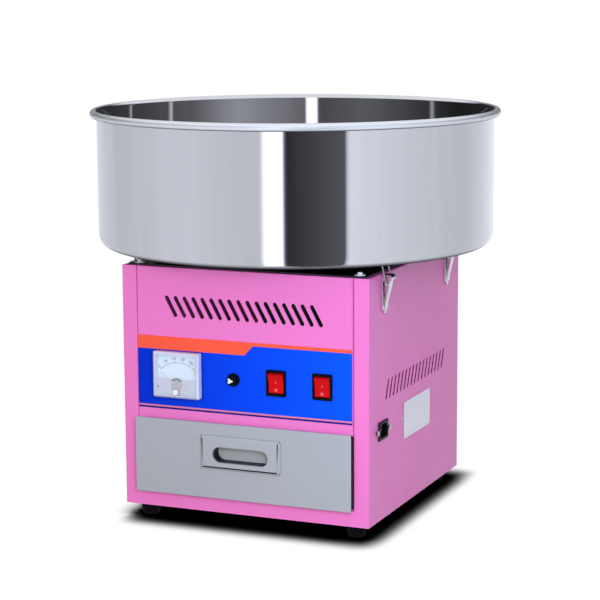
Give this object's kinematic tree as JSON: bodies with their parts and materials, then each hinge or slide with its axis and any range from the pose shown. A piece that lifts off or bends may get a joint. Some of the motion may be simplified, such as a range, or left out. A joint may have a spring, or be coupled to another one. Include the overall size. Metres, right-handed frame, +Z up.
{
  "type": "table-top cotton candy machine",
  "caption": "Electric cotton candy machine: a sheet-metal cabinet with a drawer, meter, switches and toggle latches under a wide steel bowl with a heated spinning head.",
  "frame": {"origin": "on the floor under the bowl's axis", "axes": "+X to the machine's right seen from its front, +Y to its back, +Z up along the bowl's axis"},
  "size_m": [0.52, 0.52, 0.5075],
  "materials": {
    "pink_paint": "smooth glossy pink powder coat",
    "grey_paint": "smooth satin grey",
    "control_film": "printed film, blue with an orange band",
    "black_rubber": "matt black rubber",
    "black_plastic": "black moulding",
    "clear_plastic": "clear moulded cover",
    "white_card": "white printed dial",
    "white_plastic": "white moulding",
    "red_plastic": "glossy red moulding",
    "fuse_glass": "clear glass",
    "polished_steel": "mirror-polished stainless steel",
    "catch_steel": "polished stainless steel",
    "zinc_steel": "zinc-plated steel",
    "plate_foil": "silver-white foil, blank",
    "latch_steel": "bright plated steel",
    "cast_aluminium": "machined aluminium casting",
    "slip_rings": "copper rings on an insulating tube",
    "carbon_block": "dark moulded block with carbon brushes",
    "motor_shell": "dark painted motor shell",
    "heater_alloy": "dark folded resistance ribbon"
  },
  "bodies": {
    "cabinet": {"base_pan": "pink_paint", "side_panel_right": "pink_paint", "side_panel_left": "pink_paint", "front_panel": "pink_paint", "back_panel": "pink_paint", "control_overlay": "control_film", "foot_front_left": "black_rubber", "foot_front_right": "black_rubber", "foot_back_left": "black_rubber", "foot_back_right": "black_rubber", "bowl_bumper_front_left": "black_rubber", "bowl_bumper_front_right": "black_rubber", "bowl_bumper_back_left": "black_rubber", "bowl_bumper_back_right": "black_rubber", "meter_case": "black_plastic", "fuse_socket": "black_plastic", "heat_switch_frame": "black_plastic", "power_switch_frame": "black_plastic", "power_inlet": "black_plastic", "meter_cover": "clear_plastic", "meter_dial": "white_card", "deck_plate": "polished_steel", "floss_bowl": "polished_steel", "bowl_catch_front_left": "catch_steel", "bowl_catch_front_right": "catch_steel", "bowl_catch_back_left": "catch_steel", "bowl_catch_back_right": "catch_steel", "drawer_tunnel": "zinc_steel", "motor_bracket": "zinc_steel", "rating_plate": "plate_foil", "latch_base_front_left": "latch_steel", "latch_base_front_right": "latch_steel", "latch_base_back_left": "latch_steel", "latch_base_back_right": "latch_steel", "brush_block": "carbon_block", "motor_housing": "motor_shell"},
    "spinner": {"drive_shaft": "zinc_steel", "slip_ring_sleeve": "slip_rings", "head_pan": "cast_aluminium", "heater_element": "heater_alloy", "head_screen": "polished_steel", "head_cap": "cast_aluminium", "head_nut": "cast_aluminium"},
    "drawer": {"drawer_front": "grey_paint", "drawer_tray": "zinc_steel", "drawer_pull": "grey_paint"},
    "heat_rocker": {"heat_rocker": "red_plastic"},
    "power_rocker": {"power_rocker": "red_plastic"},
    "needle": {"meter_needle": "red_plastic"},
    "zero_screw": {"meter_zero_screw": "white_plastic"},
    "fuse": {"fuse_link": "fuse_glass"},
    "fuse_cap": {"fuse_cap": "black_plastic"},
    "lever_front_left": {"latch_lever_front_left": "latch_steel"},
    "bail_front_left": {"latch_bail_front_left": "latch_steel"},
    "lever_front_right": {"latch_lever_front_right": "latch_steel"},
    "bail_front_right": {"latch_bail_front_right": "latch_steel"},
    "lever_back_left": {"latch_lever_back_left": "latch_steel"},
    "bail_back_left": {"latch_bail_back_left": "latch_steel"},
    "lever_back_right": {"latch_lever_back_right": "latch_steel"},
    "bail_back_right": {"latch_bail_back_right": "latch_steel"}
  },
  "joints": [
    {"name": "head_spin", "type": "hinge", "parent": "cabinet", "child": "spinner", "pos_m": [0, 0, 0.3545], "axis": [0, 0, 1], "continuous": true},
    {"name": "drawer_slide", "type": "slide", "parent": "cabinet", "child": "drawer", "axis": [0, -1, 0], "range_m": [-0.0078, 0.23]},
    {"name": "heat_rock", "type": "hinge", "parent": "cabinet", "child": "heat_rocker", "pos_m": [0.0445, -0.166, 0.1863], "axis": [-1, 0, 0], "range_deg": [0, 16]},
    {"name": "power_rock", "type": "hinge", "parent": "cabinet", "child": "power_rocker", "pos_m": [0.105, -0.166, 0.1863], "axis": [-1, 0, 0], "range_deg": [0, 16]},
    {"name": "needle_swing", "type": "hinge", "parent": "cabinet", "child": "needle", "pos_m": [-0.086, -0.1729, 0.167], "axis": [0, 1, 0], "range_deg": [0, 88], "stiffness_Nm_per_rad": 0.0002, "springref_deg": -11.46},
    {"name": "zero_turn", "type": "hinge", "parent": "cabinet", "child": "zero_screw", "pos_m": [-0.086, -0.18, 0.167], "axis": [0, 1, 0], "range_deg": [-30, 30]},
    {"name": "fuse_slide", "type": "slide", "parent": "cabinet", "child": "fuse", "axis": [0, -1, 0], "range_m": [0, 0.006]},
    {"name": "fuse_turn", "type": "hinge", "parent": "fuse", "child": "fuse_cap", "pos_m": [-0.0123, -0.17, 0.1863], "axis": [0, -1, 0], "range_deg": [0, 1500]},
    {"name": "lever_turn_front_left", "type": "hinge", "parent": "cabinet", "child": "lever_front_left", "pos_m": [-0.173, -0.116, 0.3155], "axis": [0, 1, 0], "range_deg": [0, 110]},
    {"name": "bail_turn_front_left", "type": "hinge", "parent": "lever_front_left", "child": "bail_front_left", "pos_m": [-0.17039, -0.116, 0.30787], "axis": [0, 1, 0], "range_deg": [-176, 0]},
    {"name": "lever_turn_front_right", "type": "hinge", "parent": "cabinet", "child": "lever_front_right", "pos_m": [0.173, -0.116, 0.3155], "axis": [0, -1, 0], "range_deg": [0, 110]},
    {"name": "bail_turn_front_right", "type": "hinge", "parent": "lever_front_right", "child": "bail_front_right", "pos_m": [0.17039, -0.116, 0.30787], "axis": [0, -1, 0], "range_deg": [-176, 0]},
    {"name": "lever_turn_back_left", "type": "hinge", "parent": "cabinet", "child": "lever_back_left", "pos_m": [-0.173, 0.116, 0.3155], "axis": [0, 1, 0], "range_deg": [0, 110]},
    {"name": "bail_turn_back_left", "type": "hinge", "parent": "lever_back_left", "child": "bail_back_left", "pos_m": [-0.17039, 0.116, 0.30787], "axis": [0, 1, 0], "range_deg": [-176, 0]},
    {"name": "lever_turn_back_right", "type": "hinge", "parent": "cabinet", "child": "lever_back_right", "pos_m": [0.173, 0.116, 0.3155], "axis": [0, -1, 0], "range_deg": [0, 110]},
    {"name": "bail_turn_back_right", "type": "hinge", "parent": "lever_back_right", "child": "bail_back_right", "pos_m": [0.17039, 0.116, 0.30787], "axis": [0, -1, 0], "range_deg": [-176, 0]}
  ],
  "couplings": [
    {"joint": "fuse_turn", "follows": "fuse_slide", "rad_per_m": 4188.8},
    {"joint": "bail_turn_front_left", "follows": "lever_turn_front_left", "ratio": -1.6},
    {"joint": "bail_turn_front_right", "follows": "lever_turn_front_right", "ratio": -1.6},
    {"joint": "bail_turn_back_left", "follows": "lever_turn_back_left", "ratio": -1.6},
    {"joint": "bail_turn_back_right", "follows": "lever_turn_back_right", "ratio": -1.6}
  ]
}
